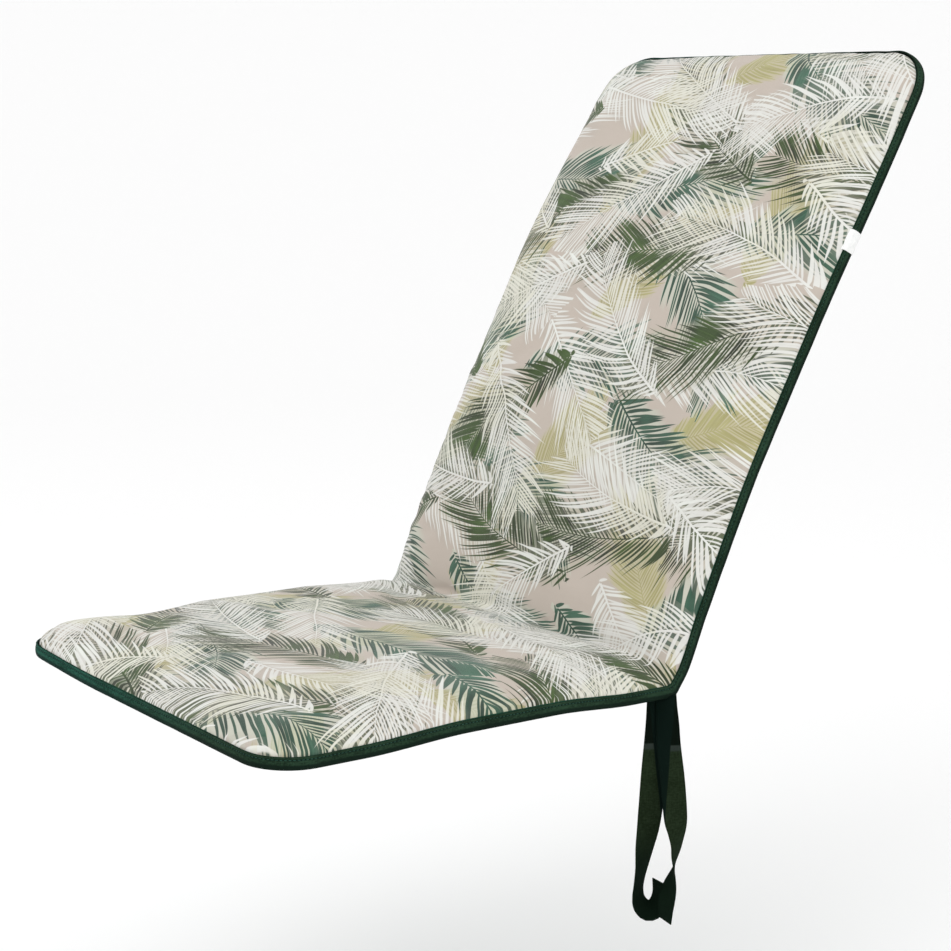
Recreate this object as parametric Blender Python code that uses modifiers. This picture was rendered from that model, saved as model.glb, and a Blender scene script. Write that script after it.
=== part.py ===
# Seat and back cushion of a high-backed garden chair, folded as it sits on the chair.
# It is one long foam-filled pad, bent where the seat meets the back, with a cloth binding
# round its edge, a pair of ribbon ties at each end of the fold and a small blank label.
# Frame: +X to the right seen from the front, +Y from the front edge to the back, +Z up,
# origin in the middle of the seat's flat underside. Metres.

import math

import bmesh
import bpy
from mathutils import Vector

# The pad's size, along its own cloth: s runs from the front edge over the fold to the top edge
WIDTH = 0.500
SEAT_LENGTH = 0.474
BACK_LENGTH = 0.723
BACK_ANGLE = math.radians(62.5)
CORNER_RADIUS = 0.050
TOP_LEFT_RADIUS = 0.064  # this corner has slumped rounder than the others

# The pad's section
CROWN = 0.0395  # thickness in the middle
DOME_START = 0.0140  # height of the side wall, just above the binding
DOME_REACH = 0.0165  # how far from the edge the dome rises
FLAT_FROM = 0.020  # distance from the edge where the underside starts to level out
FLAT_BY = 0.100  # distance from the edge where it is level
FOLD_REACH = 0.060  # how far the cloth is pushed together at the fold
FOLD_EASE = 0.0030  # the underside's corner is rounded by this much
EASE_REACH = 0.014
CREASE_DEPTH = 0.0035
CREASE_REACH = 0.022
CORNER_DRAW = 0.24  # share of the dome that the drawn-in corners lose
CORNER_REACH = 0.095
CORNER_SQUARE = 0.115  # grid rows bend round each corner inside a square of this side

# How the soft pad is bent out of its two planes: each bend rises between low and full, and
# sinks back between until and gone, along s for the seat and from the fold for the back
SEAT_ARCH = {"rise": 0.0050, "low": 0.10, "full": 0.22, "until": 0.32, "gone": 0.42}
BACK_BOW = {"rise": 0.0113, "low": 0.0, "full": 0.26, "until": 0.40, "gone": 0.72}
BACK_SAG = {"rise": -0.0030, "low": 0.0, "full": 0.03, "until": 0.03, "gone": 0.09}
BACK_TWIST = {"rise": 0.0030, "low": 0.22, "full": 0.52, "until": 0.52, "gone": 0.72}
TOP_SLANT = {"rise": 0.0050, "low": 0.45, "full": 0.72, "until": 1.0, "gone": 1.1}
CORNER_LIFT = 0.0045  # the front left corner curls up
LIFT_SIDE = 0.08  # from the middle line
LIFT_REACH = 0.14  # from the front edge

# The binding, a band of cloth folded round the edge
BINDING_HEIGHT = 0.0125
BINDING_CLOTH = 0.0024
BINDING_BULGE = 0.0012
CLEAR = 0.0004  # gap between pieces that touch

# The ribbon ties
TIE_WIDTH = 0.025
TIE_CLOTH = 0.0012
TIE_INSET = 0.012  # from the pad's side
TIE_FORWARD = 0.018  # from the fold towards the front
TIE_HEADING = math.radians(51.4)  # the way that a tie's face spreads, from +X

# The label, sewn round the binding of the right-hand edge
LABEL_START = 0.489  # from the fold
LABEL_LENGTH = 0.024
LABEL_CLOTH = 0.0007

# How finely the shapes are cut up
BY_EDGE = (0.0, 0.004, 0.010, 0.019, 0.033, 0.055, 0.085)  # pad stations, from its edge
BY_FOLD = (-0.060, -0.038, -0.022, -0.010, -0.003, 0.0, 0.003, 0.010, 0.022, 0.038, 0.060)
BAND_BY_FOLD = (-0.050, -0.025, -0.010, 0.0, 0.010, 0.025, 0.045)
SEAT_STEP = 0.028
BACK_STEP = 0.034
BAND_STEP = 0.038
ARC_STEPS = 9  # round each corner
LABEL_STEPS = 6
STRAND_COLUMNS = 4
STRAND_STEPS = 3  # between two rows of a strand's table
LOOK_AHEAD = 0.05  # part of a row, to find the way that a strand runs
SHARP_ANGLE = math.radians(50)

TOTAL_LENGTH = SEAT_LENGTH + BACK_LENGTH
SEAT_MIDDLE = SEAT_LENGTH / 2
PAD_INSET = BINDING_BULGE + BINDING_CLOTH + CLEAR

# Soft swells of the filling across the pad: place along s, reach, rise, and lean of the swell
# across the width
SWELLS = (
    {"at": 0.090, "reach": 0.040, "rise": 0.0016, "lean": 0.10},
    {"at": 0.185, "reach": 0.038, "rise": -0.0022, "lean": 0.16},
    {"at": 0.285, "reach": 0.045, "rise": -0.0006, "lean": 0.12},
    {"at": 0.410, "reach": 0.042, "rise": 0.0010, "lean": 0.00},
    {"at": 0.630, "reach": 0.080, "rise": -0.0055, "lean": -0.06},
    {"at": 0.760, "reach": 0.060, "rise": 0.0016, "lean": 0.10},
    {"at": 0.905, "reach": 0.120, "rise": 0.0055, "lean": -0.08},
)

# The binding's section: distance in from the outermost line, and height above the underside
BINDING_SECTION = (
    {"inward": BINDING_BULGE, "height": 0.0},
    {"inward": 0.0003, "height": 0.0026},
    {"inward": 0.0, "height": 0.0062},
    {"inward": 0.0004, "height": 0.0098},
    {"inward": BINDING_BULGE + 0.0002, "height": BINDING_HEIGHT},
    {"inward": BINDING_BULGE + BINDING_CLOTH, "height": BINDING_HEIGHT},
    {"inward": BINDING_BULGE + BINDING_CLOTH, "height": 0.0},
)
OUTSIDE_POINTS = 5  # of the section, from its first: the label follows these

# Each strand of a tie: along its spread, down from the underside, towards the viewer's side,
# and the turn of its face in degrees
NEAR_FRONT_STRAND = (
    {"along": 0.0020, "down": 0.0006, "out": -0.0095, "turn": 36},
    {"along": 0.0027, "down": 0.0250, "out": -0.0072, "turn": 27},
    {"along": 0.0022, "down": 0.0500, "out": -0.0060, "turn": 20},
    {"along": 0.0011, "down": 0.0810, "out": -0.0060, "turn": 12},
    {"along": 0.0002, "down": 0.1130, "out": -0.0060, "turn": 8},
    {"along": -0.0015, "down": 0.1390, "out": -0.0070, "turn": 22},
    {"along": -0.0039, "down": 0.1600, "out": -0.0090, "turn": 38},
    {"along": -0.0057, "down": 0.1800, "out": -0.0110, "turn": 54},
    {"along": -0.0080, "down": 0.1980, "out": -0.0125, "turn": 62},
    {"along": -0.0090, "down": 0.2115, "out": -0.0135, "turn": 62},
    {"along": -0.0068, "down": 0.2225, "out": -0.0140, "turn": 58},
    {"along": 0.0010, "down": 0.2300, "out": -0.0145, "turn": 54},
    {"along": 0.0095, "down": 0.2270, "out": -0.0145, "turn": 54},
    {"along": 0.0135, "down": 0.2150, "out": -0.0145, "turn": 58},
    {"along": 0.0125, "down": 0.1985, "out": -0.0145, "turn": 60},
)
NEAR_REAR_STRAND = (
    {"along": 0.0100, "down": 0.0006, "out": 0.0025, "turn": -38},
    {"along": 0.0127, "down": 0.0250, "out": 0.0015, "turn": -24},
    {"along": 0.0149, "down": 0.0490, "out": 0.0010, "turn": -14},
    {"along": 0.0197, "down": 0.0806, "out": 0.0010, "turn": -4},
    {"along": 0.0230, "down": 0.1067, "out": 0.0020, "turn": 8},
    {"along": 0.0252, "down": 0.1256, "out": 0.0035, "turn": 20},
    {"along": 0.0268, "down": 0.1361, "out": 0.0050, "turn": 38},
    {"along": 0.0273, "down": 0.1488, "out": 0.0070, "turn": 57},
    {"along": 0.0263, "down": 0.1616, "out": 0.0085, "turn": 68},
    {"along": 0.0252, "down": 0.1775, "out": 0.0100, "turn": 90},
    {"along": 0.0220, "down": 0.1930, "out": 0.0115, "turn": 114},
    {"along": 0.0188, "down": 0.2065, "out": 0.0120, "turn": 126},
    {"along": 0.0176, "down": 0.2172, "out": 0.0120, "turn": 124},
    {"along": 0.0178, "down": 0.2300, "out": 0.0120, "turn": 116},
)
FAR_FRONT_STRAND = (
    {"along": 0.0020, "down": 0.0006, "out": -0.0095, "turn": 36},
    {"along": 0.0015, "down": 0.0400, "out": -0.0070, "turn": 18},
    {"along": -0.0030, "down": 0.0800, "out": -0.0100, "turn": 12},
    {"along": -0.0065, "down": 0.1200, "out": -0.0150, "turn": 26},
    {"along": -0.0050, "down": 0.1580, "out": -0.0140, "turn": 44},
)
FAR_REAR_STRAND = (
    {"along": 0.0100, "down": 0.0006, "out": 0.0025, "turn": -38},
    {"along": 0.0150, "down": 0.0400, "out": 0.0010, "turn": -12},
    {"along": 0.0200, "down": 0.0800, "out": 0.0030, "turn": 14},
    {"along": 0.0215, "down": 0.1150, "out": 0.0080, "turn": 48},
    {"along": 0.0190, "down": 0.1500, "out": 0.0100, "turn": 30},
)

# Colours: red, green, blue, then roughness
PAD_LOOK = ((0.62, 0.55, 0.47), 0.90)
BINDING_LOOK = ((0.012, 0.070, 0.040), 0.85)
TIE_LOOK = ((0.014, 0.028, 0.014), 0.90)
LABEL_LOOK = ((0.85, 0.85, 0.83), 0.70)


def clear_scene():
    for thing in list(bpy.data.objects):
        bpy.data.objects.remove(thing, do_unlink=True)


def new_collection(name):
    collection = bpy.data.collections.new(name)
    bpy.context.scene.collection.children.link(collection)
    return collection


def material(name, look):
    colour, roughness = look
    made = bpy.data.materials.new(name)
    made.use_nodes = True
    shader = made.node_tree.nodes["Principled BSDF"]
    shader.inputs["Base Color"].default_value = (*colour, 1.0)
    shader.inputs["Roughness"].default_value = roughness
    shader.inputs["Metallic"].default_value = 0.0
    return made


def add_piece(name, bm, look, collection):
    bmesh.ops.recalc_face_normals(bm, faces=bm.faces)
    mesh = bpy.data.meshes.new(name)
    bm.to_mesh(mesh)
    bm.free()
    mesh.shade_smooth()
    mesh.set_sharp_from_angle(angle=SHARP_ANGLE)
    mesh.materials.append(material(name, look))
    piece = bpy.data.objects.new(name, mesh)
    collection.objects.link(piece)
    return piece


def ease(value, low, high):
    """0 below low, 1 above high, and a smooth rise between."""
    share = min(max((value - low) / (high - low), 0.0), 1.0)
    return share * share * (3 - 2 * share)


def corner_radius(x, s):
    return TOP_LEFT_RADIUS if x < 0 and s > TOTAL_LENGTH / 2 else CORNER_RADIUS


def edge_distance(x, s, inset):
    """How far a point of the flat pad lies inside the outline that is inset from its edge."""
    radius = corner_radius(x, s) - inset
    past_x = abs(x) - (WIDTH / 2 - inset - radius)
    past_s = abs(s - TOTAL_LENGTH / 2) - (TOTAL_LENGTH / 2 - inset - radius)
    outside = math.hypot(max(past_x, 0.0), max(past_s, 0.0))
    return radius - outside - min(max(past_x, past_s), 0.0)


def bend(place, row):
    up = ease(place, row["low"], row["full"])
    return row["rise"] * up * (1 - ease(place, row["until"], row["gone"]))


def fold(x, s, height, arched=1.0):
    """The place of a point of the flat pad, height above its underside, once it is bent."""
    along = s - SEAT_LENGTH
    push = height * math.tan(BACK_ANGLE / 2) * math.exp(-abs(along) / FOLD_REACH)
    if along <= 0:
        along -= push
        gone = along + SEAT_LENGTH
        lift = CORNER_LIFT * ease(-x, LIFT_SIDE, WIDTH / 2) * (1 - ease(gone, 0.0, LIFT_REACH))
        rise = height + arched * bend(gone, SEAT_ARCH) + lift
        return Vector((x, along + SEAT_MIDDLE, rise))
    along += push
    side = 2 * x / WIDTH
    rise = height + bend(along, BACK_BOW) + bend(along, BACK_SAG) - side * bend(along, BACK_TWIST)
    along += side * bend(along, TOP_SLANT)
    level, upright = math.cos(BACK_ANGLE), math.sin(BACK_ANGLE)
    return Vector((x, SEAT_MIDDLE + along * level - rise * upright, along * upright + rise * level))


def swell(x, s):
    """The filling's soft ups and downs."""
    total = 0.0
    for row in SWELLS:
        away = (s - row["at"] - row["lean"] * x) / row["reach"]
        total += row["rise"] * math.exp(-away * away)
    return total


def top_height(x, s):
    inside = max(edge_distance(x, s, PAD_INSET), 0.0)
    to_corner = math.hypot(WIDTH / 2 - abs(x), min(s, TOTAL_LENGTH - s)) / CORNER_REACH
    full = (CROWN - DOME_START) * (1 - CORNER_DRAW * math.exp(-to_corner * to_corner))
    crease = CREASE_DEPTH * math.exp(-(((s - SEAT_LENGTH) / CREASE_REACH) ** 2))
    return DOME_START + (full + swell(x, s) - crease) * (1 - math.exp(-inside / DOME_REACH))


def under_height(s):
    """The underside's corner at the fold is eased in."""
    return FOLD_EASE * max(1 - abs(s - SEAT_LENGTH) / EASE_REACH, 0.0) ** 2


def run(low, high, step):
    """Even stations between two places, both ends left out."""
    count = max(round((high - low) / step), 1)
    return [low + (high - low) * i / count for i in range(1, count)]


def columns():
    """Stations across the pad, close together by the edges."""
    half = WIDTH / 2 - PAD_INSET
    left = [-half + step for step in BY_EDGE]
    right = [half - step for step in reversed(BY_EDGE)]
    return left + run(left[-1], right[0], BACK_STEP) + right


def rows():
    """Stations along the pad, close together by its ends and by the fold."""
    front = [PAD_INSET + step for step in BY_EDGE]
    top = [TOTAL_LENGTH - PAD_INSET - step for step in reversed(BY_EDGE)]
    middle = [SEAT_LENGTH + step for step in BY_FOLD]
    seat = run(front[-1], middle[0], SEAT_STEP)
    back = run(middle[-1], top[0], BACK_STEP)
    return front + seat + middle + back + top


def round_corner(x, s):
    """Bends the square grid round the pad's corner, so that its last row is the outline."""
    radius = corner_radius(x, s) - PAD_INSET
    side_x = math.copysign(1, x)
    side_s = -1 if s < TOTAL_LENGTH / 2 else 1
    inner_x = WIDTH / 2 - PAD_INSET - CORNER_SQUARE
    inner_s = TOTAL_LENGTH / 2 - PAD_INSET - CORNER_SQUARE
    a = (abs(x) - inner_x) / CORNER_SQUARE
    b = (abs(s - TOTAL_LENGTH / 2) - inner_s) / CORNER_SQUARE
    if a <= 0 or b <= 0:
        return x, s
    most = max(a, b)
    to_x, to_s = a / most, b / most
    start = 1 - radius / CORNER_SQUARE
    reach = 1.0
    if to_x > start and to_s > start:
        # where the ray from the square's inner corner meets the rounding's arc
        dot = (to_x + to_s) * start
        length = to_x * to_x + to_s * to_s
        rest = 2 * start * start - (1 - start) ** 2
        reach = (dot + math.sqrt(dot * dot - length * rest)) / length
    scale = 1 - (1 - reach) * most**2
    x = side_x * (inner_x + a * scale * CORNER_SQUARE)
    s = TOTAL_LENGTH / 2 + side_s * (inner_s + b * scale * CORNER_SQUARE)
    return x, s


def make_pad(collection):
    """The filled pad: a grid of its cloth, thickened, then every point put in its place."""
    across, along = columns(), rows()
    bm = bmesh.new()
    bmesh.ops.create_grid(bm, x_segments=len(across) - 1, y_segments=len(along) - 1, size=0.5)
    upper = bmesh.ops.extrude_face_region(bm, geom=bm.faces[:])["geom"]
    upper = {item for item in upper if isinstance(item, bmesh.types.BMVert)}
    for vert in bm.verts:
        column = round((vert.co.x + 0.5) * (len(across) - 1))
        row = round((vert.co.y + 0.5) * (len(along) - 1))
        x, s = round_corner(across[column], along[row])
        if vert in upper:
            vert.co = fold(x, s, top_height(x, s))
        else:
            arched = 1 - ease(edge_distance(x, s, PAD_INSET), FLAT_FROM, FLAT_BY)
            vert.co = fold(x, s, under_height(s), arched)
    return add_piece("pad", bm, PAD_LOOK, collection)


def outline(inset):
    """Points round the pad's edge, inset from its outermost line, in order: (x, s)."""
    half, points = WIDTH / 2 - inset, []
    ends = (
        (1, inset, -90),
        (1, TOTAL_LENGTH - inset, 0),
        (-1, TOTAL_LENGTH - inset, 90),
        (-1, inset, 180),
    )
    for side, end, first in ends:
        radius = corner_radius(side, end) - inset
        into = 1 if end < SEAT_LENGTH else -1
        for i in range(ARC_STEPS + 1):
            angle = math.radians(first + 90 * i / ARC_STEPS)
            x = side * (half - radius) + radius * math.cos(angle)
            points.append((x, end + into * radius + radius * math.sin(angle)))
    middle = [SEAT_LENGTH + step for step in BAND_BY_FOLD]
    low, high = CORNER_RADIUS, TOTAL_LENGTH - CORNER_RADIUS
    stations = run(low, middle[0], BAND_STEP) + middle + run(middle[-1], high, BAND_STEP)
    edge = ARC_STEPS + 1
    straight = WIDTH / 2 - CORNER_RADIUS
    front = [(x, inset) for x in run(-straight, straight, BAND_STEP)]
    top = [(-x, TOTAL_LENGTH - inset) for x, _ in front]
    right = [(half, s) for s in stations]
    left = [(-half, s) for s in reversed(stations)]
    corners = [points[i * edge : (i + 1) * edge] for i in range(4)]
    return front + corners[0] + right + corners[1] + top + corners[2] + left + corners[3]


def sweep(section, path_of, closed):
    """A closed solid: the section's points carried along the path that each of them has."""
    bm = bmesh.new()
    lines = []
    for point in section:
        places = [fold(x, s, point["height"]) for x, s in path_of(point["inward"])]
        verts = [bm.verts.new(place) for place in places]
        pairs = list(zip(verts, verts[1:] + verts[:1] if closed else verts[1:]))
        lines.append([bm.edges.new(pair) for pair in pairs])
    for one, other in zip(lines, lines[1:] + lines[:1]):
        bmesh.ops.bridge_loops(bm, edges=one + other)
    if not closed:
        bmesh.ops.holes_fill(bm, edges=bm.edges[:], sides=len(section))
    return bm


def make_binding(collection):
    return add_piece("binding", sweep(BINDING_SECTION, outline, True), BINDING_LOOK, collection)


def label_section():
    """The label lies round the outside of the binding, a clear gap from it."""
    outer = BINDING_SECTION[:OUTSIDE_POINTS]
    near = [{"inward": p["inward"] - CLEAR, "height": p["height"]} for p in outer]
    far = [{"inward": p["inward"] - LABEL_CLOTH, "height": p["height"]} for p in near]
    return near + far[::-1]


def label_path(inward):
    first = SEAT_LENGTH + LABEL_START
    stations = [first + LABEL_LENGTH * i / LABEL_STEPS for i in range(LABEL_STEPS + 1)]
    return [(WIDTH / 2 - inward, s) for s in stations]


def make_label(collection):
    return add_piece("label", sweep(label_section(), label_path, False), LABEL_LOOK, collection)


def between(strand, place):
    """A value of each column part way along a strand's table, on a smooth curve."""
    index = min(int(place), len(strand) - 2)
    share = place - index
    found = {}
    for key in strand[0]:
        p0, p1, p2, p3 = (
            strand[min(max(index + step, 0), len(strand) - 1)][key] for step in (-1, 0, 1, 2)
        )
        bend = 2 * p0 - 5 * p1 + 4 * p2 - p3
        twist = 3 * p1 - p0 - 3 * p2 + p3
        found[key] = p1 + 0.5 * share * (p2 - p0 + share * (bend + share * twist))
    return found


def make_strand(name, strand, side, collection):
    """One ribbon of a tie, hanging from the underside: its width turns about its own line."""
    steps = STRAND_STEPS * (len(strand) - 1)
    root = Vector((side * (WIDTH / 2 - TIE_INSET), SEAT_MIDDLE - TIE_FORWARD, 0.0))
    spread = Vector((side * math.cos(TIE_HEADING), math.sin(TIE_HEADING), 0.0))
    out = Vector((side * math.sin(TIE_HEADING), -math.cos(TIE_HEADING), 0.0))
    bm = bmesh.new()
    bmesh.ops.create_grid(bm, x_segments=STRAND_COLUMNS, y_segments=steps, size=0.5)
    for vert in bm.verts:
        place = (vert.co.y + 0.5) * (len(strand) - 1)
        row = between(strand, place)
        before = between(strand, max(place - LOOK_AHEAD, 0))
        after = between(strand, min(place + LOOK_AHEAD, len(strand) - 1))
        ahead = Vector((after["along"] - before["along"], before["down"] - after["down"]))
        ahead.normalize()
        turn = math.radians(row["turn"])
        wide = (spread * -ahead.y + Vector((0, 0, ahead.x))) * math.cos(turn) - out * math.sin(turn)
        middle = root + spread * row["along"] + out * row["out"] - Vector((0, 0, row["down"]))
        vert.co = middle + wide * vert.co.x * TIE_WIDTH
    piece = add_piece(name, bm, TIE_LOOK, collection)
    cloth = piece.modifiers.new("cloth", "SOLIDIFY")
    cloth.thickness = TIE_CLOTH
    cloth.offset = 0.0
    return piece


def main():
    clear_scene()
    collection = new_collection("seat_and_back_cushion")
    make_pad(collection)
    make_binding(collection)
    make_label(collection)
    make_strand("tie_near_front", NEAR_FRONT_STRAND, 1, collection)
    make_strand("tie_near_rear", NEAR_REAR_STRAND, 1, collection)
    make_strand("tie_far_front", FAR_FRONT_STRAND, -1, collection)
    make_strand("tie_far_rear", FAR_REAR_STRAND, -1, collection)


main()
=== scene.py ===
# Looks of the seat and back cushion: printed cover, binding, stitches, label and ribbon ties,
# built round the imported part, with a pale floor and soft studio light.
import math
import random
from functools import partial

import bmesh
import bpy
import numpy as np
from mathutils import Matrix, Vector


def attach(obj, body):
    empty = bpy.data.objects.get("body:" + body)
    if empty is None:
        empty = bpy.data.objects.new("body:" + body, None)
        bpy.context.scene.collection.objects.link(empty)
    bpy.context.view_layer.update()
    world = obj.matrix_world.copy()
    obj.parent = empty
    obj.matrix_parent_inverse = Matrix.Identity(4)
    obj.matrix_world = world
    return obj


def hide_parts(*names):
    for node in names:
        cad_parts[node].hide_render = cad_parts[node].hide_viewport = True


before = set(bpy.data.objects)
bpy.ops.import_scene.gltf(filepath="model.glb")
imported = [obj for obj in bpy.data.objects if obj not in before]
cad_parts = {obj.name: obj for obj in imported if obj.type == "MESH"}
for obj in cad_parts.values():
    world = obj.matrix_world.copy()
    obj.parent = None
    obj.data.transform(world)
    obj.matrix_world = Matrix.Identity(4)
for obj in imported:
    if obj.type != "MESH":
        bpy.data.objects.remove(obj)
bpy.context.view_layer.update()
scene = bpy.context.scene

# The cushion's size and bend, the same as in the CAD part, in metres.
# s runs along the cloth from the front edge over the fold to the top edge.
cushion = {
    "width": 0.5, "seatLength": 0.474, "backLength": 0.723,
    "backAngle": math.radians(62.5), "cornerRadius": 0.05, "topLeftRadius": 0.064,
    "foldReach": 0.06,
    # each bend out of the two planes: its rise, then where it starts, is full, sinks and is gone
    "seatArch": (0.005, 0.1, 0.22, 0.32, 0.42),
    "backBow": (0.0113, 0.0, 0.26, 0.4, 0.72),
    "backSag": (-0.003, 0.0, 0.03, 0.03, 0.09),
    "backTwist": (0.003, 0.22, 0.52, 0.52, 0.72),
    "topSlant": (0.005, 0.45, 0.72, 1.0, 1.1),
    "cornerLift": 0.0045,  # the front left corner curls up
    "liftSide": 0.08, "liftReach": 0.14,
}
totalLength = cushion["seatLength"] + cushion["backLength"]
seatMiddle = cushion["seatLength"] / 2


def smoothStep(value, low, high):
    share = np.clip((value - low) / (high - low), 0, 1)
    return share * share * (3 - 2 * share)


def bendAt(name, place):
    rise, low, full, until, gone = cushion[name]
    return rise * smoothStep(place, low, full) * (1 - smoothStep(place, until, gone))


def bendPad(x, s, height, arched=1.0):
    # where a point of the flat pad goes when the pad is folded
    x, s, height = np.broadcast_arrays(np.asarray(x, float), s, height)
    angle = cushion["backAngle"]
    along = s - cushion["seatLength"]
    push = height * math.tan(angle / 2) * np.exp(-np.abs(along) / cushion["foldReach"])
    onSeat = along <= 0
    seatAlong, backAlong = along - push, along + push
    gone = seatAlong + cushion["seatLength"]
    lift = smoothStep(-x, cushion["liftSide"], cushion["width"] / 2)
    lift = cushion["cornerLift"] * lift * (1 - smoothStep(gone, 0, cushion["liftReach"]))
    seatRise = height + arched * bendAt("seatArch", gone) + lift
    side = 2 * x / cushion["width"]
    backRise = height + bendAt("backBow", backAlong) + bendAt("backSag", backAlong)
    backRise = backRise - side * bendAt("backTwist", backAlong)
    backAlong = backAlong + side * bendAt("topSlant", backAlong)
    backY = backAlong * math.cos(angle) - backRise * math.sin(angle)
    backZ = backAlong * math.sin(angle) + backRise * math.cos(angle)
    y = seatMiddle + np.where(onSeat, seatAlong, backY)
    return np.stack([x, y, np.where(onSeat, seatRise, backZ)], axis=-1)


def cornerRadius(x, s):
    topLeft = (x < 0) & (s > totalLength / 2)
    return np.where(topLeft, cushion["topLeftRadius"], cushion["cornerRadius"])


def edgeDistance(x, s, inset):
    # how far a point of the flat pad lies inside its outline
    radius = cornerRadius(x, s) - inset
    pastX = np.abs(x) - (cushion["width"] / 2 - inset - radius)
    pastS = np.abs(s - totalLength / 2) - (totalLength / 2 - inset - radius)
    outside = np.hypot(np.maximum(pastX, 0), np.maximum(pastS, 0))
    return radius - outside - np.minimum(np.maximum(pastX, pastS), 0)


def addObject(name, data):
    made = bpy.data.objects.new(name, data)
    scene.collection.objects.link(made)
    return made


def finishPiece(name, mesh, material):
    # makes the object, gives it its material and hangs it on the part's body
    mesh.shade_smooth()
    mesh.materials.append(material)
    piece = addObject(name, mesh)
    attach(piece, "root")
    return piece


def storeMesh(bm, name):
    mesh = bpy.data.meshes.new(name)
    bm.to_mesh(mesh)
    bm.free()
    return mesh


def turnOutwards(mesh, weld=0.0):
    # turns every face outwards, after joining the vertices that are nearer than weld
    bm = bmesh.new()
    bm.from_mesh(mesh)
    if weld:
        bmesh.ops.remove_doubles(bm, verts=bm.verts[:], dist=weld)
    bmesh.ops.recalc_face_normals(bm, faces=bm.faces[:])
    bm.to_mesh(mesh)
    bm.free()


def meshPoints(mesh):
    points = np.empty(len(mesh.vertices) * 3)
    mesh.vertices.foreach_get("co", points)
    return points.reshape(-1, 3)


def setMeshPoints(mesh, points):
    mesh.vertices.foreach_set("co", np.ascontiguousarray(points, np.float32).ravel())
    mesh.update()


def writeFlatMap(mesh, flat):
    # a UV map that holds each corner's place on the flat cloth, in metres
    corners = np.empty(len(mesh.loops), np.int32)
    mesh.loops.foreach_get("vertex_index", corners)
    layer = mesh.uv_layers.new(name="flatCloth")
    layer.uv.foreach_set("vector", flat[corners].astype(np.float32).ravel())


def gridPlaces(mesh, columns, rows):
    # each vertex's column and row in a grid of size 1
    return np.rint((meshPoints(mesh)[:, :2] + 0.5) * (columns, rows)).astype(int).T


def makeGrid(name, columns, rows):
    bm = bmesh.new()
    bmesh.ops.create_grid(bm, x_segments=columns, y_segments=rows, size=0.5)
    mesh = storeMesh(bm, name)
    return mesh, *gridPlaces(mesh, columns, rows)


def distancesAlong(points):
    # how far each point is from the first one, along the line through all of them
    steps = np.linalg.norm(np.diff(points, axis=0), axis=1)
    return np.concatenate([[0], np.cumsum(steps)])


def refine(piece):
    finer = piece.modifiers.new("finer", "SUBSURF")
    finer.levels = finer.render_levels = 1


def thicken(piece, thickness):
    thick = piece.modifiers.new("cloth", "SOLIDIFY")
    thick.thickness = thickness
    thick.offset = 0


def applyModifiers(piece):
    evaluated = piece.evaluated_get(bpy.context.evaluated_depsgraph_get())
    mesh = bpy.data.meshes.new_from_object(evaluated)
    piece.modifiers.clear()
    piece.data = mesh
    return mesh


# Materials

def addNode(tree, kind, values=None, **settings):
    # values are for the node's sockets: each is a number, a colour or another node's socket
    node = tree.nodes.new(kind)
    count = len(tree.nodes)
    node.location = (220 * (count // 8), -170 * (count % 8))
    for name, setting in settings.items():
        setattr(node, name, setting)
    for name, value in (values or {}).items():
        if isinstance(value, bpy.types.NodeSocket):
            tree.links.new(value, node.inputs[name])
        elif value is not None:
            node.inputs[name].default_value = value
    return node.outputs


def addMath(tree, operation, first, second=0.0, clamp=False):
    values = {0: first, 1: second}
    return addNode(tree, "ShaderNodeMath", values, operation=operation, use_clamp=clamp)[0]


def sumsFor(tree):
    # the sums that the materials use most: times, plus, minus and over
    return [partial(addMath, tree, kind) for kind in ("MULTIPLY", "ADD", "SUBTRACT", "DIVIDE")]


def addVector(tree, operation, first, second):
    values = {0: first, 1: second}
    return addNode(tree, "ShaderNodeVectorMath", values, operation=operation)[0]


def splitVector(tree, vector):
    return addNode(tree, "ShaderNodeSeparateXYZ", {0: vector})


def addMix(tree, factor, first, second):
    values = {0: factor, 6: first, 7: second}
    return addNode(tree, "ShaderNodeMix", values, data_type="RGBA")[2]


def addRange(tree, value, low, high):
    # 0 at low, 1 at high and a smooth rise between; the other way round where high is below low
    values = {0: value, 1: low, 2: high, 3: 0.0, 4: 1.0}
    return addNode(tree, "ShaderNodeMapRange", values, interpolation_type="SMOOTHSTEP")[0]


def addNoise(tree, place, scale, detail, roughness=0.5):
    values = {"Vector": place, "Scale": scale, "Detail": detail, "Roughness": roughness}
    return addNode(tree, "ShaderNodeTexNoise", values)


def addBump(tree, height, distance, strength, normal=None):
    values = {"Height": height, "Distance": distance, "Strength": strength, "Normal": normal}
    return addNode(tree, "ShaderNodeBump", values)[0]


def readFlatMap(tree):
    return addNode(tree, "ShaderNodeUVMap", uv_map="flatCloth")["UV"]


def newGroup(name, inputs, outputs):
    # Place is a vector, every other socket a number
    group = bpy.data.node_groups.new(name, "ShaderNodeTree")
    for direction, names in (("INPUT", inputs), ("OUTPUT", outputs)):
        for socketName in names:
            kind = "NodeSocketVector" if socketName == "Place" else "NodeSocketFloat"
            group.interface.new_socket(socketName, in_out=direction, socket_type=kind)
    given = addNode(group, "NodeGroupInput")
    return group, given, group.nodes.new("NodeGroupOutput").inputs


def useGroup(tree, group, **values):
    return addNode(tree, "ShaderNodeGroup", values, node_tree=group)


def newMaterial(name, colour, look):
    material = bpy.data.materials.new(name)
    material.use_nodes = True
    material.diffuse_color = (*colour, 1.0)
    shader = material.node_tree.nodes["Principled BSDF"].inputs
    values = {"Base Color": (*colour, 1.0), "Roughness": look["rough"],
              "Specular IOR Level": look["shine"], "Sheen Weight": look.get("sheen", 0.0)}
    for socketName, value in values.items():
        shader[socketName].default_value = value
    return material, material.node_tree, shader


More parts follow.
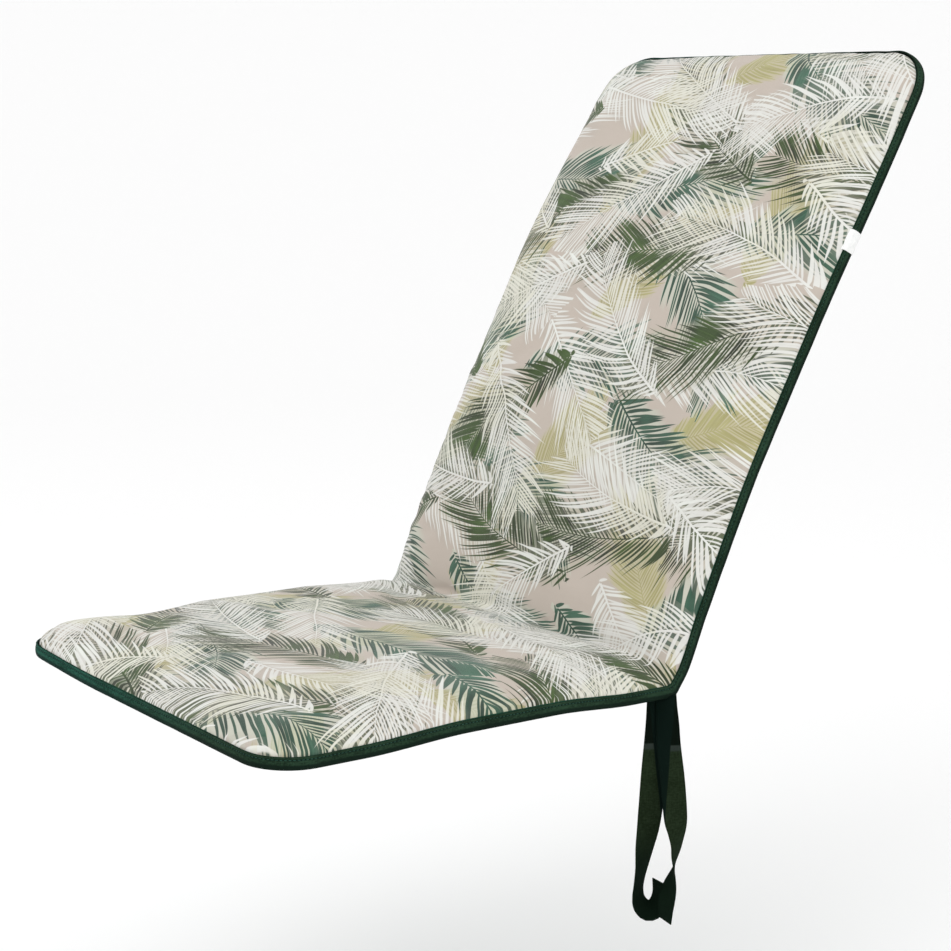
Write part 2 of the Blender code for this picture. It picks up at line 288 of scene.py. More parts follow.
weave = {
    "slubStretch": (900, 120, 0),  # slubs are long and thin: scale across and along
    "slubHeight": 0.35,
    "fineNoise": (700.0, 2.0, 0.6),  # scale, detail and roughness, as in every noise below
    "threadRough": 0.12,
}


def makeWeaveGroup():
    # threads over and under each other: twill 0 is a plain weave, 1 has slanting ribs
    group, given, result = newGroup("clothWeave", ("Place", "Pitch", "Twill"), ("Height", "Shade"))
    times, plus = sumsFor(group)[:2]
    split = splitVector(group, given["Place"])
    turn = addMath(group, "DIVIDE", math.pi, given["Pitch"])
    across, along = times(split[0], turn), times(split[1], turn)
    slant = plus(along, times(across, given["Twill"]))
    warp = addMath(group, "ABSOLUTE", addMath(group, "SINE", across))
    weft = addMath(group, "ABSOLUTE", addMath(group, "SINE", slant))
    height = times(plus(warp, weft), 0.5)
    stretched = addVector(group, "MULTIPLY", given["Place"], weave["slubStretch"])
    slub = addNoise(group, stretched, 1.0, 1.0)["Fac"]
    fine = addNoise(group, given["Place"], *weave["fineNoise"])["Fac"]
    group.links.new(plus(height, times(slub, weave["slubHeight"])), result["Height"])
    group.links.new(plus(times(slub, 0.5), times(fine, 0.5)), result["Shade"])
    return group


def finishCloth(tree, shader, threads, look, rough, softHeight):
    # the part that the threads have in the roughness and the relief
    times, plus = sumsFor(tree)[:2]
    rough = plus(rough, times(threads["Shade"], weave["threadRough"]))
    tree.links.new(rough, shader["Roughness"])
    soft = addBump(tree, softHeight, *look["softBump"])
    threadBump = addBump(tree, threads["Height"], *look["threadBump"], soft)
    tree.links.new(threadBump, shader["Normal"])


# A leaflet's numbers are shares of its length or of its pitch, apart from the ones in metres.
frondShape = {
    "lean": 0.7,  # how far along the rib a leaflet points
    "curl": 4.0,
    "fan": 1.15,  # how much the leaflets spread apart away from the rib
    "rootShare": 0.1,  # the frond's outline starts this far before its root and ends past 1
    "tipShare": 1.04,
    "leastLength": 1.15,  # of the layer's reach, and what chance adds to it
    "moreLength": 0.8, "leastWidth": 0.7, "moreWidth": 0.6, "taper": 4.5,
    "neck": 0.5,  # width at the rib, and how fast it grows from there
    "neckRise": 3.0, "swing": 0.72,
    "edge": 20.0,  # how sharp a leaflet's edge is
    "stalk": -0.012,  # metres along the rib, where it starts
    "ribTaper": 1.3, "ribEdge": 2500.0, "spreadEdge": 4.0,
}


def makeFrondGroup():
    # every other leaflet of a palm frond. Place holds the distance along the rib, the distance
    # across it, and the frond's number with its length behind the decimal point. Shift 0 and
    # Shift 0.5 give the two halves of the leaflets, which can cross each other
    group, given, result = newGroup(
        "frondLeaflets", ("Place", "Reach", "Pitch", "Fill", "Rib", "Shift"),
        ("Leaflet", "Spread", "Tone"))
    shape, maths = frondShape, partial(addMath, group)
    times, plus, minus, over = sumsFor(group)
    along, across, code = splitVector(group, given["Place"])
    length = maths("FRACT", code)
    number = plus(maths("FLOOR", code), given["Shift"])
    away = maths("ABSOLUTE", across)
    side = maths("GREATER_THAN", across, 0.0)
    lean = times(away, shape["lean"])
    curl = times(times(away, away), shape["curl"])
    fan = plus(1.0, over(times(away, shape["fan"]), length))
    root = over(minus(minus(along, lean), curl), fan)
    phase = plus(over(root, given["Pitch"]), plus(times(side, 0.25), given["Shift"]))
    leaf = maths("FLOOR", phase)
    local = minus(maths("FRACT", phase), 0.5)
    share = over(minus(root, times(local, given["Pitch"])), length)
    seat = addNode(group, "ShaderNodeCombineXYZ", {0: leaf, 1: side, 2: number})[0]
    chance = addNode(group, "ShaderNodeTexWhiteNoise", {"Vector": seat}, noise_dimensions="3D")
    longer, wider, turned = addNode(group, "ShaderNodeSeparateColor", {0: chance["Color"]})
    profile = times(plus(share, shape["rootShare"]), minus(shape["tipShare"], share))
    inside = maths("GREATER_THAN", profile, 0.0)
    size = times(maths("SQRT", maths("MAXIMUM", profile, 0.0)), given["Reach"])
    size = times(size, plus(shape["leastLength"], times(longer, shape["moreLength"])))
    out = over(away, maths("MAXIMUM", size, 0.001))
    taper = minus(1.0, maths("POWER", out, shape["taper"]), True)
    neck = maths("MINIMUM", 1.0, plus(shape["neck"], times(out, shape["neckRise"])))
    wide = times(times(taper, neck), given["Fill"])
    wide = times(wide, plus(shape["leastWidth"], times(wider, shape["moreWidth"])))
    swing = times(minus(turned, 0.5), shape["swing"])
    bow = times(minus(wider, 0.5), minus(1.0, out))
    offLine = maths("ABSOLUTE", plus(local, times(plus(swing, bow), out)))
    blade = times(minus(wide, offLine), shape["edge"], True)
    blade = times(times(blade, inside), maths("LESS_THAN", out, 1.0))
    pastStalk = maths("GREATER_THAN", along, shape["stalk"])
    onRib = times(pastStalk, maths("LESS_THAN", along, length))
    ribWidth = times(given["Rib"], minus(shape["ribTaper"], over(along, length)))
    rib = times(minus(ribWidth, away), shape["ribEdge"], True)
    group.links.new(maths("MAXIMUM", blade, times(rib, onRib)), result["Leaflet"])
    spread = times(times(minus(1.0, out), shape["spreadEdge"], True), inside)
    group.links.new(spread, result["Spread"])
    group.links.new(chance["Value"], result["Tone"])
    return group


# What is printed on the cloth, from the lowest ink to the top one. Each layer's fronds are laid
# at random from its own seed, no nearer than gap. A wash tints the cloth under a frond, merge
# lets leaflets run together in places, and cream tints them where they cross the olive fronds.
frondLooks = {
    "olive": {"fill": 0.32, "merge": 0.2, "rib": 0.0005, "strength": 0.8, "wash": 0.75, "cream": 0},
    "teal": {"fill": 0.38, "merge": 0.26, "rib": 0.001, "strength": 0.98, "wash": 0.6, "cream": 0},
    "forest": {"fill": 0.36, "merge": 0.26, "rib": 0.001, "strength": 0.98, "wash": 0.45,
               "cream": 0},
    "white": {"fill": 0.35, "merge": 0, "rib": 0.0012, "strength": 0.94, "wash": 0.2,
              "cream": 0.35},
}
layerKeys = ("name", "look", "seed", "gap", "length", "reach", "pitch", "heading")
printLayers = [{**frondLooks[row[1]], **dict(zip(layerKeys, row))} for row in (
    ("oliveFronds", "olive", 21, 0.138, (0.14, 0.2), 0.048, 0.0046, (20, 150)),
    ("tealFronds", "teal", 12, 0.128, (0.18, 0.25), 0.052, 0.0064, (-40, 50)),
    ("whiteFrondsLow", "white", 41, 0.146, (0.17, 0.23), 0.052, 0.0066, (-50, 30)),
    ("forestFronds", "forest", 35, 0.14, (0.17, 0.23), 0.05, 0.0062, (130, 220)),
    ("whiteFrondsMid", "white", 52, 0.142, (0.17, 0.23), 0.052, 0.0064, (140, 220)),
    ("whiteFrondsTop", "white", 60, 0.235, (0.16, 0.22), 0.05, 0.0066, (-70, 0)),
)]
scatter = {
    "tries": 900, "sideReach": 0.3, "pastEnd": 0.05,
    "squeeze": 0.8,  # fronds may lie closer across the width
    "mostTurn": 2.6,  # of a rib, in 1/m
    "middle": 0.55,  # a frond's patch of cloth: its middle and half its length, as shares
    "halfLength": 0.62, "halfWidth": 1.05,
    "mostStep": 0.03,  # a face across which the place jumps by more isn't printed
    "fit": 1.7, "far": 9.0, "nowhere": (-5.0, 0.0, 0.2),
}


def layFronds(layer):
    # a loose, even scatter: each new frond's middle keeps its gap from those before it
    dice = random.Random(layer["seed"])
    fronds = []
    for _ in range(scatter["tries"]):
        midX = dice.uniform(-scatter["sideReach"], scatter["sideReach"])
        midS = dice.uniform(-scatter["pastEnd"], totalLength + scatter["pastEnd"])
        if any(math.hypot((midX - f["midX"]) * scatter["squeeze"], midS - f["midS"]) < layer["gap"]
               for f in fronds):
            continue
        heading = math.radians(dice.uniform(*layer["heading"]))
        length = dice.uniform(*layer["length"])
        fronds.append({
            "midX": midX, "midS": midS, "heading": heading, "length": length,
            "startX": midX - math.cos(heading) * length * 0.5,
            "startS": midS - math.sin(heading) * length * 0.5,
            "turn": dice.uniform(-scatter["mostTurn"], scatter["mostTurn"]),
        })
    return fronds


def writeFronds(mesh, layer):
    # gives every face of the printed side its place on the frond that it belongs to
    flat = np.empty(len(mesh.loops) * 2, np.float32)
    mesh.uv_layers["flatCloth"].uv.foreach_get("vector", flat)
    flat = flat.reshape(-1, 4, 2).astype(float)  # faces, corners, x and s
    place = np.tile(np.array(scatter["nowhere"]), (len(flat), 4, 1))
    best = np.full(len(flat), scatter["far"])
    for number, frond in enumerate(layFronds(layer)):
        dx, ds = flat[..., 0] - frond["startX"], flat[..., 1] - frond["startS"]
        ahead = dx * math.cos(frond["heading"]) + ds * math.sin(frond["heading"])
        left = ds * math.cos(frond["heading"]) - dx * math.sin(frond["heading"])
        turn, length = frond["turn"], frond["length"]
        along = np.arctan2(ahead * turn, 1 - left * turn) / turn
        across = (1 - np.hypot(ahead * turn, 1 - left * turn)) / turn
        fromMiddle = (along - length * scatter["middle"]) / (length * scatter["halfLength"])
        fromRib = across / (layer["reach"] * scatter["halfWidth"])
        fit = np.hypot(fromMiddle, fromRib).mean(axis=1)
        jump = np.maximum(np.ptp(along, axis=1), np.ptp(across, axis=1))
        fit[jump > scatter["mostStep"]] = scatter["far"]
        taken = (fit < best) & (fit < scatter["fit"])
        best[taken] = fit[taken]
        place[taken, :, 0] = along[taken]
        place[taken, :, 1] = across[taken]
        place[taken, :, 2] = number + 1 + length
    attribute = mesh.attributes.new(layer["name"], "FLOAT_VECTOR", "CORNER")
    attribute.data.foreach_set("vector", place.astype(np.float32).ravel())


printColours = {
    "ground": (0.47, 0.41, 0.355), "groundLight": (0.51, 0.446, 0.392),
    "olive": (0.26, 0.24, 0.08), "oliveLight": (0.4, 0.38, 0.16),
    "oliveWash": (0.45, 0.415, 0.24), "teal": (0.008, 0.032, 0.02),
    "tealLight": (0.04, 0.128, 0.078), "tealWash": (0.5, 0.54, 0.45),
    "forest": (0.006, 0.012, 0.003), "forestLight": (0.038, 0.086, 0.008),
    "forestWash": (0.42, 0.405, 0.31), "white": (0.64, 0.63, 0.6),
    "whiteLight": (0.73, 0.75, 0.705), "cream": (0.63, 0.61, 0.44),
    "whiteWash": (0.37, 0.345, 0.295), "worn": (0.25, 0.23, 0.2),
}
printLook = {
    "rough": 0.82, "shine": 0.35, "sheen": 0.2,
    "wander": (0.012, 0.008, 0.0),  # how far the print's lines stray, in metres
    "wanderNoise": (11.0, 1.5, 0.4), "patchNoise": (17.0, 1.0), "patchFrom": 0.5,
    "patchEdge": 5.0, "groundTone": 0.5, "pitch": 0.0007, "worn": 0.07,
    "softNoise": (60.0, 3.0),
    "softBump": (0.0012, 0.5),  # height in metres, and strength
    "threadBump": (0.00012, 0.7),
}


def makePrintedCloth():
    look = printLook
    colours = {name: (*value, 1.0) for name, value in printColours.items()}
    material, tree, shader = newMaterial("printedCloth", printColours["ground"], look)
    times, plus, minus = sumsFor(tree)[:3]
    flat = readFlatMap(tree)
    wander = addNoise(tree, flat, *look["wanderNoise"])["Color"]
    wander = addVector(tree, "SUBTRACT", wander, (0.5, 0.5, 0.5))
    wander = addVector(tree, "MULTIPLY", wander, look["wander"])
    patch = addNoise(tree, flat, *look["patchNoise"])["Fac"]
    thick = times(minus(patch, look["patchFrom"]), look["patchEdge"], True)
    lighter = times(patch, look["groundTone"])
    colour = addMix(tree, lighter, colours["ground"], colours["groundLight"])
    spreads = {}
    for layer in printLayers:
        fill = layer["fill"] / 2  # each half's pitch is two leaflets wide
        if layer["merge"]:
            fill = plus(fill, times(thick, layer["merge"] / 2))
        place = addNode(tree, "ShaderNodeAttribute", attribute_name=layer["name"])["Vector"]
        given = {"Place": addVector(tree, "ADD", place, wander), "Reach": layer["reach"],
                 "Pitch": layer["pitch"] * 2, "Fill": fill, "Rib": layer["rib"]}
        halves = [useGroup(tree, frondGroup, **given, Shift=shift) for shift in (0.0, 0.5)]
        spread = spreads[layer["name"]] = halves[0]["Spread"]
        low, high, wash = (colours[layer["look"] + kind] for kind in ("", "Light", "Wash"))
        colour = addMix(tree, times(spread, layer["wash"]), colour, wash)
        for half in halves:
            tone = times(plus(half["Tone"], thick), 0.5)
            ink = addMix(tree, tone, low, high)
            if layer["cream"]:
                creamy = times(spreads["oliveFronds"], layer["cream"])
                ink = addMix(tree, creamy, ink, colours["cream"])
            colour = addMix(tree, times(half["Leaflet"], layer["strength"]), colour, ink)
    threads = useGroup(tree, weaveGroup, Place=flat, Pitch=look["pitch"])
    worn = addMix(tree, times(threads["Shade"], look["worn"]), colour, colours["worn"])
    tree.links.new(worn, shader["Base Color"])
    softHeight = addNoise(tree, flat, *look["softNoise"])["Fac"]
    finishCloth(tree, shader, threads, look, look["rough"], softHeight)
    return material


# Plain cloths. Each band is a stretch across the binding, or along a ribbon, where another colour
# is mixed in: where it starts, is full, starts to fade and is gone, all in metres.
plainCloth = {
    "underside": {
        "colour": (0.012, 0.05, 0.03), "light": (0.022, 0.08, 0.05),
        "pitch": 0.0007, "rough": 0.92, "shine": 0.08},
    "binding": {
        "colour": (0.0064, 0.0168, 0.0084), "light": (0.021, 0.051, 0.0285),
        "pitch": 0.0006, "twill": 1.0, "rough": 0.88, "shine": 0.08,
        "bands": (
            # painted shade: the binding's lower rim where it turns under, the groove by the
            # stitches, and its inner edge at the join with the cover
            (-1.0, -0.9, 0.0064, 0.0092, (0.003, 0.01, 0.006)),
            (0.0114, 0.0122, 0.013, 0.0137, (0.003, 0.012, 0.008)),
            (0.0154, 0.0168, 0.9, 1.0, (0.002, 0.006, 0.004)),
        )},
    "ribbon": {
        "colour": (0.008, 0.014, 0.006), "light": (0.017, 0.028, 0.014),
        "pitch": 0.0011, "rough": 0.85, "shine": 0.02,
        "bands": (
            # near-black from the root down to 49 mm, then a lighter band just below it
            (-1.0, -0.9, 0.0488, 0.0494, (0.002, 0.004, 0.003)),
            (0.0488, 0.0494, 0.054, 0.0565, (0.026, 0.034, 0.03)),
            # painted shade: darker from 0.13 m down the ribbon, where it turns over
            (0.13, 0.19, 9.0, 10.0, (0.004, 0.01, 0.006)),
        )},
    "thread": {
        "colour": (0.012, 0.05, 0.034), "light": (0.026, 0.09, 0.062),
        "pitch": 0.0004, "twill": 1.0, "rough": 0.7, "shine": 0.15},
    "label": {
        "colour": (0.78, 0.79, 0.78), "light": (0.86, 0.86, 0.85),
        "pitch": 0.0006, "rough": 0.75, "shine": 0.12},
}
plainLook = {
    "twill": 0.0, "bands": (), "driftNoise": (24.0, 3.0), "mottleStretch": (1.0, 2.2, 0.0),
    "mottleNoise": (260.0, 2.0, 0.6), "band": 0.9,
    "tones": (1.15, 1.85),  # the sums of the noises that give the dark and the light colour
    "smoother": 0.06,  # what the middle of the threads' shade adds to the roughness
    "softBump": (0.0006, 0.5), "threadBump": (0.00018, 0.8),
}


def makePlainCloth(name, retint=None):
    look = {**plainLook, **plainCloth[name]}
    material, tree, shader = newMaterial(name + "Cloth", look["colour"], look)
    times, plus, minus = sumsFor(tree)[:3]
    flat = readFlatMap(tree)
    threads = useGroup(tree, weaveGroup, Place=flat, Pitch=look["pitch"], Twill=look["twill"])
    drift = addNoise(tree, flat, *look["driftNoise"])["Fac"]
    stretched = addVector(tree, "MULTIPLY", flat, look["mottleStretch"])
    mottle = addNoise(tree, stretched, *look["mottleNoise"])["Fac"]
    tone = addRange(tree, plus(plus(drift, mottle), threads["Shade"]), *look["tones"])
    colour = addMix(tree, tone, (*look["colour"], 1.0), (*look["light"], 1.0))
    gone = splitVector(tree, flat)[1]
    for start, full, fade, end, bandColour in look["bands"]:
        after = minus(1.0, addRange(tree, gone, fade, end))
        inBand = times(addRange(tree, gone, start, full), after)
        colour = addMix(tree, times(inBand, look["band"]), colour, (*bandColour, 1.0))
    if retint:
        colour = retint(tree, flat, colour)
    tree.links.new(colour, shader["Base Color"])
    finishCloth(tree, shader, threads, look, look["rough"] - look["smoother"], drift)
    return material


bindingSkyLight = {"tint": (0.9, 1.8, 2.25), "none": 0.2, "full": -0.14}


def paintSkyLightOnBinding(tree, flat, colour):
    # painted light: the binding turns a brighter, bluer green towards the pad's left side, where
    # the light from the left falls on it
    right = splitVector(tree, addNode(tree, "ShaderNodeTexCoord")["Object"])[0]
    skyLit = addRange(tree, right, bindingSkyLight["none"], bindingSkyLight["full"])
    return addMix(tree, skyLit, colour, addVector(tree, "MULTIPLY", colour, bindingSkyLight["tint"]))


ribbonShade = {
    "colour": (0.0035, 0.0085, 0.0065, 1.0), "narrowing": 0.18, "start": -0.0117,
    "full": -0.0105,
}


def shadeRibbons(tree, flat, colour):
    # near their root the two ribbons of a tie lie together, and their inner halves get painted
    # shade: the flat map's first number grows towards the inner edge, its second down the ribbon
    times, _, minus, _ = sumsFor(tree)
    split = splitVector(tree, flat)
    inward = minus(split[0], times(split[1], ribbonShade["narrowing"]))
    shaded = addRange(tree, inward, ribbonShade["start"], ribbonShade["full"])
    return addMix(tree, shaded, colour, ribbonShade["colour"])


print("materials")
weaveGroup = makeWeaveGroup()
frondGroup = makeFrondGroup()
printedCloth = makePrintedCloth()
undersideCloth = makePlainCloth("underside")
bindingCloth = makePlainCloth("binding", paintSkyLightOnBinding)
threadCloth = makePlainCloth("thread")
labelCloth = makePlainCloth("label")
ribbonCloth = makePlainCloth("ribbon", shadeRibbons)

# The filled cover

cover = {
    "inset": 0.004,  # from the outermost line, where the binding takes over
    "underReach": 0.0012,  # how far the underside goes on past that, into the binding
    "crown": 0.0395, "domeStart": 0.014, "domeReach": 0.0165, "creaseDepth": 0.0035,
    "creaseReach": 0.022, "cornerDraw": 0.24, "cornerReach": 0.095,
    "cornerSquare": 0.115, "foldEase": 0.003, "easeReach": 0.014, "flatFrom": 0.02,
    "flatBy": 0.1, "step": 0.0082,
    "swells": (  # place along s, reach, rise and lean across the width
        (0.09, 0.04, 0.0016, 0.1), (0.185, 0.038, -0.0022, 0.16),
        (0.285, 0.045, -0.0006, 0.12), (0.41, 0.042, 0.001, 0.0),
        (0.63, 0.08, -0.0055, -0.06), (0.76, 0.06, 0.0016, 0.1),
        (0.905, 0.12, 0.0055, -0.08),
    ),
    "nearEdge": (0.0, 0.0025, 0.006, 0.0105, 0.016, 0.0225, 0.03),
    "weld": 0.001,  # vertices this near to the outline are held by the binding
    "frames": 20,
    "cloth": {
        "quality": 5, "mass": 0.25, "tension_stiffness": 20, "compression_stiffness": 20,
        "shear_stiffness": 8, "bending_stiffness": 0.4, "vertex_group_mass": "sewn",
        "use_pressure": True, "uniform_pressure_force": 3.0, "shrink_min": -0.02,
    },
    "bulgeRounds": 30, "mostWrinkle": 0.0016,
}


def coverTop(x, s):
    inside = np.maximum(edgeDistance(x, s, cover["inset"]), 0)
    toCorner = np.hypot(cushion["width"] / 2 - np.abs(x), np.minimum(s, totalLength - s))
    draw = cover["cornerDraw"] * np.exp(-((toCorner / cover["cornerReach"]) ** 2))
    full = (cover["crown"] - cover["domeStart"]) * (1 - draw)
    toFold = (s - cushion["seatLength"]) / cover["creaseReach"]
    crease = cover["creaseDepth"] * np.exp(-(toFold**2))
    swell = sum(rise * np.exp(-(((s - at - lean * x) / reach) ** 2))
                for at, reach, rise, lean in cover["swells"])
    dome = 1 - np.exp(-inside / cover["domeReach"])
    return cover["domeStart"] + (full + swell - crease) * dome


def coverUnderside(s):
    away = np.abs(s - cushion["seatLength"]) / cover["easeReach"]
    return cover["foldEase"] * np.maximum(1 - away, 0) ** 2


def stations(low, high, crowded):
    # even stations, with closer ones by each crowded place
    near = cover["nearEdge"]
    spots = sorted({low, high, *(low + n for n in near), *(high - n for n in near),
                    *(c + side * n for c in crowded for n in near for side in (-1, 1))})
    filled = [spots[0]]
    for spot in spots[1:]:
        count = max(round((spot - filled[-1]) / cover["step"]), 1)
        filled += list(np.linspace(filled[-1], spot, count + 1)[1:])
    return np.array(filled)


def roundCorners(x, s):
    # bends the grid round each corner, so that its last row is the rounded outline
    square, inset = cover["cornerSquare"], cover["inset"]
    radius = cornerRadius(x, s) - inset
    innerX, innerS = cushion["width"] / 2 - inset - square, totalLength / 2 - inset - square
    a = np.maximum(np.abs(x) - innerX, 0) / square
    b = np.maximum(np.abs(s - totalLength / 2) - innerS, 0) / square
    most = np.maximum(np.maximum(a, b), 1e-9)
    toX, toS = a / most, b / most
    start = 1 - radius / square
    dot, size = (toX + toS) * start, np.maximum(toX**2 + toS**2, 1e-9)
    rest = 2 * start * start - (1 - start) ** 2
    reach = (dot + np.sqrt(np.maximum(dot**2 - size * rest, 0))) / size
    reach = np.where((toX > start) & (toS > start), reach, 1.0)
    scale = (1 - (1 - reach) * most**2) * square
    roundX = np.sign(x) * (innerX + a * scale)
    roundS = totalLength / 2 + np.sign(s - totalLength / 2) * (innerS + b * scale)
    inCorner = (a > 0) & (b > 0)
    return np.where(inCorner, roundX, x), np.where(inCorner, roundS, s)


def smoothGrid(field, rounds):
    # each point goes halfway to the middle of its neighbours, along the rows and the columns
    for _ in range(rounds):
        for axis in (0, 1):
            edges = [(1, 1) if k == axis else (0, 0) for k in range(3)]
            padded = np.pad(field, edges, mode="edge")
            before = np.take(padded, range(0, field.shape[axis]), axis=axis)
            after = np.take(padded, range(2, field.shape[axis] + 2), axis=axis)
            field = 0.5 * field + 0.25 * (before + after)
    return field


def puffCover(piece, upper, row, column, shape, held):
    # the cloth, cut a little loose and held by the binding, is blown up by its filling
    rest = meshPoints(piece.data)
    group = piece.vertex_groups.new(name="sewn")
    group.add([int(i) for i in held], 1.0, "REPLACE")
    filling = piece.modifiers.new("filling", "CLOTH")
    for name, value in cover["cloth"].items():
        setattr(filling.settings, name, value)
    filling.settings.effector_weights.gravity = 0
    filling.collision_settings.use_collision = False
    filling.collision_settings.use_self_collision = False
    filling.point_cache.frame_start = 1
    filling.point_cache.frame_end = cover["frames"]
    for step in range(1, cover["frames"] + 1):
        scene.frame_set(step)
    graph = bpy.context.evaluated_depsgraph_get()
    moved = meshPoints(piece.evaluated_get(graph).data)
    piece.modifiers.remove(filling)
    scene.frame_set(1)
    # the wide bulge is taken off again, because foam holds the pad's shape; the wrinkles stay
    grid = np.zeros((*shape, 3))
    grid[row[upper], column[upper]] = (moved - rest)[upper]
    fine = grid - smoothGrid(grid, cover["bulgeRounds"])
    size = np.linalg.norm(fine, axis=2, keepdims=True)
    fine *= np.minimum(1, cover["mostWrinkle"] / np.maximum(size, 1e-9))
    print(f"wrinkles up to {size.max() * 1000:.1f} mm, mean {size.mean() * 1000:.2f} mm")
    rest[upper] += fine[row[upper], column[upper]]
    setMeshPoints(piece.data, rest)


def makeCover():
    half = cushion["width"] / 2 - cover["inset"]
    across = stations(-half, half, ())
    along = stations(cover["inset"], totalLength - cover["inset"], (cushion["seatLength"],))
    bm = bmesh.new()
    bmesh.ops.create_grid(bm, x_segments=len(across) - 1, y_segments=len(along) - 1, size=0.5)
    extruded = bmesh.ops.extrude_face_region(bm, geom=bm.faces[:])["geom"]
    bm.verts.index_update()
    raised = np.zeros(len(bm.verts), bool)
    raised[[item.index for item in extruded if isinstance(item, bmesh.types.BMVert)]] = True
    mesh = storeMesh(bm, "padCover")
    column, row = gridPlaces(mesh, len(across) - 1, len(along) - 1)
    x, s = roundCorners(across[column], along[row])
    inside = edgeDistance(x, s, cover["inset"])
    arched = 1 - smoothStep(inside, cover["flatFrom"], cover["flatBy"])
    wider = 1 + cover["underReach"] / half
    longer = 1 + cover["underReach"] / (totalLength / 2 - cover["inset"])
    underX, underS = x * wider, totalLength / 2 + (s - totalLength / 2) * longer
    top = bendPad(x, s, coverTop(x, s))
    under = bendPad(underX, underS, coverUnderside(s), arched)
    setMeshPoints(mesh, np.where(raised[:, None], top, under))
    writeFlatMap(mesh, np.stack([x, s], axis=1))
    for face in mesh.polygons:
        face.material_index = 0 if all(raised[v] for v in face.vertices) else 1
    mesh.materials.append(printedCloth)
    mesh.materials.append(undersideCloth)
    turnOutwards(mesh)
    piece = addObject("padCover", mesh)
    held = np.flatnonzero(~raised | (inside < cover["weld"]))
    puffCover(piece, raised, row, column, (len(along), len(across)), held)
    refine(piece)
    mesh = applyModifiers(piece)
    mesh.shade_smooth()
    for layer in printLayers:
        writeFronds(mesh, layer)
    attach(piece, "root")
    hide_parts("pad")
    print("cover", len(mesh.polygons), "faces")


print("cover")
makeCover()

# The binding and its stitches

binding = {
    "step": 0.006, "arcSteps": 14,
    "section": (  # distance in from the outermost line, height above the underside
        (0.0036, 0.0001), (0.0016, 0.0), (0.0006, 0.001), (0.0001, 0.003), (0.0, 0.0058),
        (0.0003, 0.0086), (0.0013, 0.0098), (0.0008, 0.0106), (0.0007, 0.0114), (0.0015, 0.0123),
        (0.0028, 0.0124), (0.0037, 0.0114), (0.0037, 0.006),
    ),
    "outerPoints": (2, 9),  # the ones that ripple, and the ones of the lip that lift
    "lipPoints": (7, 10), "waver": 0.0006, "lift": 0.0005, "stitchPitch": 0.004,
    "stitchLength": 0.0027, "stitchThick": 0.0004, "stitchHeight": 0.0098,
    "stitchInward": 0.0011, "stitchSides": (6, 5), "rippleSeed": 5,
    "ripples": (31, 57, 83, 131),  # waves round the whole edge
    "liftSeed": 8, "lifts": (23, 47, 71, 101), "weld": 1e-5,
}


def padOutline():
    # points round the pad's edge: x, s, the way out, and the distance gone
    half = cushion["width"] / 2
    corners = ((1, 0, -90), (1, 1, 0), (-1, 1, 90), (-1, 0, 180))
    radii = [float(cornerRadius(side, end * totalLength)) for side, end, _ in corners]
    points = []
    for corner, (side, end, first) in enumerate(corners):
        radius, following = radii[corner], radii[(corner + 1) % 4]
        centreX = side * (half - radius)
        centreS = radius if end == 0 else totalLength - radius
        for i in range(binding["arcSteps"] + 1):
            angle = math.radians(first + 90 * i / binding["arcSteps"])
            outX, outS = math.cos(angle), math.sin(angle)
            points.append((centreX + radius * outX, centreS + radius * outS, outX, outS))
        run = (totalLength if corner in (0, 2) else 2 * half) - radius - following
        count = round(run / binding["step"])
        startX, startS, outX, outS = points[-1]
        for i in range(1, count):  # counter-clockwise
            gone = run * i / count
            points.append((startX - outS * gone, startS + outX * gone, outX, outS))
    points = np.array(points)
    *gone, whole = distancesAlong(np.vstack([points, points[:1]])[:, :2])
    return *points.T, np.array(gone), whole


def waver(gone, whole, seed, waves):
    # an uneven ripple that closes on itself round the edge
    dice = random.Random(seed)
    total = np.zeros_like(gone)
    for count in waves:
        size = dice.uniform(0.4, 1.0)
        total += size * np.sin(2 * math.pi * (gone / whole * count + dice.random()))
    return total / len(waves)


def makeBinding():
    x, s, outX, outS, gone, whole = padOutline()
    section = np.array(binding["section"])
    mesh, turn, ring = makeGrid("bindingBand", len(x), len(section))
    t, r = turn % len(x), ring % len(section)
    inward, height = section[r, 0], section[r, 1]
    outer = (r >= binding["outerPoints"][0]) & (r <= binding["outerPoints"][1])
    lip = (r >= binding["lipPoints"][0]) & (r <= binding["lipPoints"][1])
    ripple = waver(gone, whole, binding["rippleSeed"], binding["ripples"])[t]
    lift = waver(gone, whole, binding["liftSeed"], binding["lifts"])[t]
    inward = inward - np.where(outer, binding["waver"] * ripple, 0)
    height = height + np.where(lip, binding["lift"] * lift, 0)
    setMeshPoints(mesh, bendPad(x[t] - outX[t] * inward, s[t] - outS[t] * inward, height))
    girth = distancesAlong(np.vstack([section, section[:1]]))
    distance = np.append(gone, whole)
    writeFlatMap(mesh, np.stack([distance[turn], girth[ring]], axis=1))
    turnOutwards(mesh, binding["weld"])
    piece = finishPiece("bindingBand", mesh, bindingCloth)
    refine(piece)
    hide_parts("binding")
    return piece, whole


